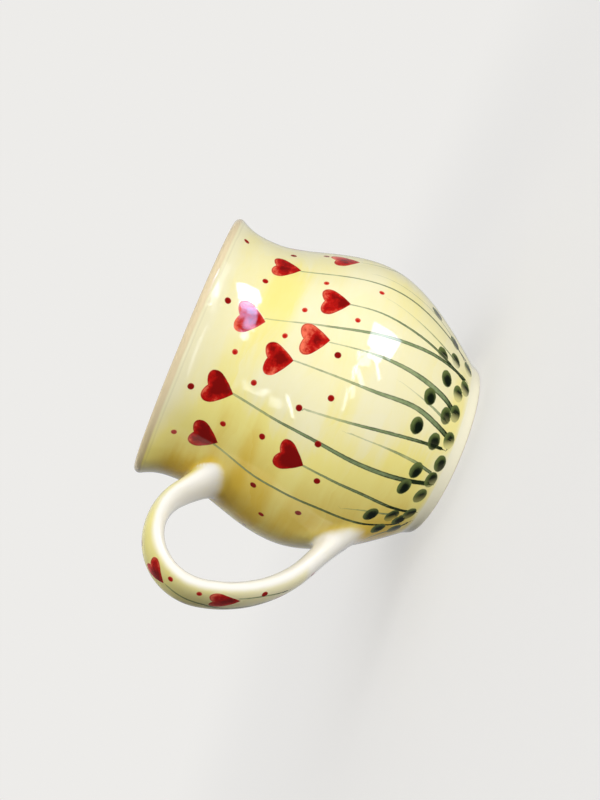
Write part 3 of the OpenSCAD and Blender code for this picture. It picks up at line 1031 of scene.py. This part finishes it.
def glaze():
    look, finish = glazeLook, Finish(bpy.data.materials.new("glaze"))
    at = finish.node("TexCoord", {}, {}, "Object")
    height = finish.parts(at)[2] * (1 / mm)
    scale, detail, reach = look["drift"]
    drift = finish.node("TexNoise", {}, {"Vector": at, "Scale": scale, "Detail": detail}, "Color")
    drifted = finish.shove(at, finish.stretch(drift, (reach, reach, reach)))
    noises = {name: finish.noise(at, *look[name]) for name in ("speckle", "cloud", "patch", "blot", "streak")}
    noises.update({name: finish.noise(drifted, *look[name]) for name in ("hairs", "broad")})
    cells = finish.stretch(drifted, look["strokeCells"])
    stroke = finish.node("TexVoronoi", {}, {"Vector": cells, "Scale": 1.0}, "Color")
    noises["stroke"] = finish.parts(stroke)[0] - 0.5
    cloud, patch, speckle = noises["cloud"], noises["patch"], noises["speckle"]
    grain = speckle * 0.5

    def uneven(name):
        return sum(noises[noise] * share for noise, share in look[name].items())

    def oval(across, up, wide, tall):
        return ((across / wide) ** 2 + (up / tall) ** 2) ** 0.5

    # overlapping strokes of yellow laid round the mug
    wash = finish.attribute("wash")[0]
    yellowIn, lipBelow, insideShare = finish.attribute("zones")
    yellow = wash + uneven("yellowUneven")
    colour = finish.mix(look["cream"], look["yellow"], finish.between(yellow, *look["yellowRange"]))
    # deepest yellow where the wash is strongest, round the handle partly painted shade
    colour = finish.mix(colour, look["deepYellow"], finish.between(yellow, *look["deepRange"]) * 0.9)
    plain = finish.mix(look["white"], look["inside"], insideShare)
    plain = finish.mix(plain, look["cream"], finish.between(height, *look["footRange"]) * 0.6)
    yellowMask = finish.between(yellowIn + uneven("edgeUneven"), *look["edgeRange"])
    colour = finish.mix(plain, colour, yellowMask)

    for name in ("stemA", "stemB", "stemC"):
        across, halfWide, strength = finish.attribute(name)
        reach = abs(across)
        mask = finish.between(halfWide - reach + grain * 0.35, -0.1, 0.12)
        mask = mask * finish.between(halfWide, 0.02, 0.06) * finish.between(strength + patch * 0.5, 0.0, 0.6)
        rim = finish.between(reach / (halfWide + 0.01), 0.35, 0.95)
        shade = strength ** 2.2 * 1.1 + rim * 0.7 - 0.16 + uneven("stemUneven")
        stemColour = finish.mix(look["stemPale"], look["stemDark"], shade.least(1.0).most(0.0))
        colour = finish.mix(colour, stemColour, mask)

    # a leaf is darkest off its middle, and its far end may be nearly clear
    across, up, tone = finish.attribute("leaf")
    wide, tall = painting["leafHalf"]
    coreAcross, coreUp, coreSize = look["leafCore"]
    core = oval(across - coreAcross, up - coreUp, wide * coreSize, tall * coreSize)
    dark = finish.between(core + uneven("leafUneven"), *look["leafRange"])
    clear = finish.between(across / wide + up * 0.08, *look["leafClearRange"])
    clear = clear * finish.between(tone, 0.2, 0.75)
    leafColour = finish.mix(look["leafEdge"], look["leafDark"], dark * (0.9 - clear * 0.7) + 0.1)
    mask = finish.between(oval(across, up, wide, tall) + grain * 0.25, 1.04, 0.92)
    colour = finish.mix(colour, leafColour, mask * (1 - clear * 0.75))

    # a dot is paler at its rim, and on one side with a painted highlight
    across, up, tone = finish.attribute("dot")
    dotR = painting["dotR"]
    size = oval(across, up, dotR, dotR) + grain * 0.3 + (tone.least(1.0) - 0.5) * 0.2
    paleRimAndHighlight = finish.between(size + across * 0.35 + patch * 0.9 + (tone - 0.5) * 0.5, 0.6, 1.5)
    dotColour = finish.mix(look["heartDark"], look["heartRed"], tone.least(1.0))
    dotColour = finish.mix(dotColour, look["heartLight"], paleRimAndHighlight * 0.6)
    colour = finish.mix(colour, dotColour, finish.between(size, 1.1, 0.88))

    # a heart is darkest near its tip
    across, up, tone = finish.attribute("heart")
    x, y = abs(across) / painting["heartHalf"], up / painting["heartHalf"]
    bend = x ** 0.92 * (0.92 - finish.between(y, -0.2, 0.5) * 0.2)
    shape = x ** 2 + (y * 1.28 - bend) ** 2 + grain * 0.1 + patch * 0.18
    depth = 1 - shape
    # a heart's darkness darkens all of it, and on the hearts near the handle it is partly painted shade
    light = depth * 0.75 + uneven("heartUneven") - y * 0.35 + tone * 0.52
    red, dark = (finish.between(light, *look[name]) for name in ("heartLightRange", "heartDarkRange"))
    heartColour = finish.mix(look["heartLight"], look["heartRed"], red)
    heartColour = finish.mix(heartColour, look["heartDark"], dark)
    rimLine = finish.between(abs(depth - 0.1), 0.1, 0.02) * finish.between(cloud + tone * 0.3, 0.0, 0.1)
    heartColour = finish.mix(heartColour, look["heartDark"], rimLine * 0.5)
    heartMask = finish.between(shape, 1.03, 0.95)
    colour = finish.mix(colour, heartColour, heartMask)

    # the lip, where the glaze breaks over its edge
    below = lipBelow + uneven("lipUneven")
    # painted shade: a thin darker line where the lip's rounding turns
    shadeLine = finish.between(abs(below - look["lipShadeLineAt"]), 0.4, 0.1) * (1 - insideShare)
    colour = finish.mix(colour, look["lipShadeLine"], shadeLine * 0.15)
    lipMask = finish.between(below, *look["lipRange"]) * (1 - insideShare * 0.6)
    colour = finish.mix(colour, look["lipClay"], lipMask * 0.85)

    bare = finish.between(height + cloud * 0.4, *look["bareRange"])
    colour = finish.mix(colour, look["bareClay"], bare)
    rough = look["roughness"] + patch * 0.03 + bare * look["bareRoughness"]
    relief = uneven("relief") + heartMask * 0.5 + bare * (speckle + 0.5)
    normal = finish.node("Bump", {}, {"Strength": 1.0, "Distance": look["bump"], "Height": relief})
    shader = finish.node("BsdfPrincipled", {}, {"Base Color": colour, "Roughness": rough, "Normal": normal,
                                                "IOR": 1.5})
    return finish.output("Material", shader)


mesh.materials.append(glaze())
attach(mug, "root")
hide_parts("mug")
print("glaze: made")

# A pale floor that runs into a pale background, soft lamps, and the camera at the mug's side.
studio = {
    "paper": rgb(0.93, 0.925, 0.915),
    "floorLit": rgb(0.88, 0.875, 0.865),
    "floorThrows": rgb(0.50, 0.48, 0.45),      # how pale it is for the light it throws back on the mug
    "floorR": 3.0,
    "floorGlow": 0.6,        # share of the floor near the mug that shows as plain paper, and its strength
    "glowNear": 1.13,
    "fadeFrom": 0.10,
    "fadeTo": 0.45,
    "fillNear": 0.08,        # light from the dim side of the room, and from the bright side
    "fillFar": 0.62,
    "brightWay": (-0.90, -0.39, 0.16),
    "fillRange": (-0.35, 0.7),
    "fillColour": rgb(0.98, 0.985, 1.0),
    "mirroredWay": (-0.54, -0.84, -0.08),
    "mirroredFar": 0.5,      # how bright the room looks in the glaze that way, and elsewhere
    "mirroredNear": 0.09,
    "mirroredRange": (0.6, 0.97),
}


def paperFinish():
    finish = Finish(bpy.data.materials.new("paper"))
    place = finish.node("TexCoord", {}, {}, "Object")
    away = finish.node("VectorMath", {"operation": "LENGTH"}, {0: place}, "Value")
    camera = finish.ray("Camera")
    colour = finish.mix(studio["floorThrows"], studio["floorLit"], camera)
    floor = finish.node("BsdfDiffuse", {}, {"Color": colour})
    far = finish.between(away, studio["fadeFrom"], studio["fadeTo"])
    strength = far * (1 - studio["glowNear"]) + studio["glowNear"]
    glow = finish.node("Emission", {}, {"Color": studio["paper"], "Strength": strength})
    plain = studio["floorGlow"]
    share = (far * (1 - plain) + plain) * camera
    return finish.output("Material", finish.node("MixShader", {}, {0: share, 1: floor, 2: glow}))


def roomFinish():
    # the camera sees plain paper, and the mug is lit by a room that is brighter on one side
    finish = Finish(bpy.data.worlds.new("room"))
    way = finish.node("TexCoord", {}, {}, "Generated")
    near, far = studio["fillNear"], studio["fillFar"]
    bright = finish.between(finish.alike(way, studio["brightWay"]), *studio["fillRange"])
    light = near + bright * (far - near)
    near, far = studio["mirroredNear"], studio["mirroredFar"]
    beyond = finish.between(finish.alike(way, studio["mirroredWay"]), *studio["mirroredRange"])
    mirrored = near + beyond * (far - near)
    camera, glossy = finish.ray("Camera"), finish.ray("Glossy")
    strength = light * (1 - glossy) + mirrored * glossy
    fill = finish.node("Background", {}, {"Color": studio["fillColour"], "Strength": strength})
    paperSeen = finish.node("Background", {}, {"Color": studio["paper"], "Strength": 1.0})
    return finish.output("World", finish.node("MixShader", {}, {0: camera, 1: fill, 2: paperSeen}))


bpy.ops.mesh.primitive_circle_add(vertices=96, radius=studio["floorR"], fill_type="NGON", location=(0, 0, 0))
paper = bpy.context.object
paper.name = "paper"
paper.data.materials.append(paperFinish())
paper.visible_glossy = False      # the glaze mirrors the lamps beyond it
bpy.context.scene.world = roomFinish()

lamps = {                    # direction round the mug and up in degrees, distance, width, height, brightness
    "front": (90, 10, 0.8, 0.7, 0.5, 2.2),
    "frontLow": (82, -46, 0.7, 0.4, 0.3, 8.9),
    "skyLeft": (75, 62, 0.9, 0.7, 0.6, 2.1),
    "skyBack": (165, 40, 0.9, 0.7, 0.6, 0.5),
    "skyHandle": (-25, 80, 0.9, 0.7, 0.5, 1.4),
}
glints = {                   # small lamps that the glaze mirrors: the spot each faces, its way from there,
                             # its width and height, its turn and spread in degrees, brightness
    "neckUp": ((2.2, 40.8, 77.6), 121, -4, 16.5, 9, -22, 44, 34),
    "neckMid": ((6.5, 40.3, 76.2), 108, 1, 14.4, 6.8, -12, 38, 27),
    "neckLow": ((10.7, 39.4, 74.3), 95, 6, 15.7, 8.5, -9, 38, 17),
    "neckTail": ((14.6, 38.2, 73.8), 83, 7, 9, 7, -12, 38, 14),
    "belly": ((4.2, 47.7, 37.9), 121, -19, 25, 34, 0, 74, 16),
    "bellySide": ((4.2, 47.7, 37.9), 101, -17, 13, 18, 0, 74, 12),
    "branchA": ((11.2, 46.6, 41.0), 99, -7, 16, 15, 20, 60, 8),
    "branchB": ((16.8, 45.0, 40.3), 85, -9, 24, 5, 49, 60, 9),
    "branchC": ((12.7, 45.9, 36.1), 97, -24, 22, 3.5, 46, 60, 12),
    "branchD": ((23.8, 41.6, 41.1), 64, -5, 24, 3.5, 8, 60, 7),
    "branchE": ((16.6, 45.0, 42.0), 85, -3, 13.5, 3.5, 12, 60, 9),
    "branchF": ((21.5, 42.9, 40.3), 71, -9, 13, 5.5, 28, 60, 6),
    "shoulderA": ((26.6, 33.8, 63.8), 44, 31, 9, 1.0, -5, 50, 11),
    "shoulderB": ((29.0, 35.3, 54.9), 42, 26, 21, 1.8, 32, 36, 16),
    "shoulderC": ((28.8, 33.8, 59.3), 40, 30, 9.5, 6, 15, 36, 5),
    "rimHigh": ((5.5, 42.1, 85.9), 122, -40, 57, 5, 16, 74, 3.5),
    "rimLow": ((23.1, 35.2, 84.8), 56, -42, 50, 4, -2, 74, 3),
}
glintAway = 50.0
glintBlue = {"neck": (0.48, 0.58, 0.98), "rest": (0.78, 0.86, 1.0)}
aim = Vector((0.005, 0, 0.045))
glazedOnly = bpy.data.collections.new("glazedOnly")
glazedOnly.objects.link(mug)


def areaLamp(name, spot, round_, height, away, wide, tall, bright):
    # a lamp in this direction from a spot, facing it
    light = bpy.data.lights.new(name, "AREA")
    light.shape = "RECTANGLE"
    light.size, light.size_y = wide, tall
    light.energy = bright * math.pi * wide * tall
    lamp = bpy.data.objects.new(name, light)
    level = math.cos(math.radians(height))
    way = (level * math.cos(math.radians(round_)), level * math.sin(math.radians(round_)),
           math.sin(math.radians(height)))
    lamp.location = spot + away * Vector(way)
    lamp.rotation_euler = (spot - lamp.location).to_track_quat("-Z", "Y").to_euler()
    lamp.visible_camera = False
    bpy.context.scene.collection.objects.link(lamp)
    return lamp


def forMugAlone(lamp):
    # neither on the floor nor stopped by it
    lamp.light_linking.receiver_collection = glazedOnly
    lamp.light_linking.blocker_collection = glazedOnly


for name, settings in lamps.items():
    lamp = areaLamp(name, aim, *settings)
    lamp.visible_glossy = False
    if name.startswith("front"):
        forMugAlone(lamp)
for name, (spot, round_, height, wide, tall, roll, spread, bright) in glints.items():
    lamp = areaLamp(name, Vector(spot) * mm, round_, height, glintAway * mm, wide * mm, tall * mm, bright)
    rolled = lamp.rotation_euler.to_matrix() @ Matrix.Rotation(math.radians(roll), 3, "Z")
    lamp.rotation_euler = rolled.to_euler()
    lamp.data.color = glintBlue["neck" if name.startswith("neck") else "rest"]
    lamp.data.spread = math.radians(spread)
    # the narrower the beam, the brighter it is for its energy
    lamp.data.energy *= 1 - lamp.data.spread / 2 / math.tan(lamp.data.spread / 2)
    lamp.visible_diffuse = False
    forMugAlone(lamp)

view = {                     # where the camera stands, and its right and up directions
    "place": (0.1830, 0.2817, 0.0777),
    "right": (-0.27953, 0.27194, -0.92082),
    "up": (-0.79608, 0.47052, 0.38062),
    "lens": 46.83,
}
rightWay, upWay = Vector(view["right"]).normalized(), Vector(view["up"])
upWay = (upWay - rightWay * upWay.dot(rightWay)).normalized()
turned = Matrix((rightWay, upWay, rightWay.cross(upWay))).transposed().to_4x4()
eye = bpy.data.cameras.new("eye")
eye.lens = view["lens"]
eye.sensor_width = 36
eye.clip_start = 0.01
camera = bpy.data.objects.new("eye", eye)
camera.matrix_world = Matrix.Translation(view["place"]) @ turned
bpy.context.scene.collection.objects.link(camera)
bpy.context.scene.camera = camera
bpy.context.scene.view_settings.view_transform = "Standard"
print("studio: lamps", list(lamps), "and the camera")
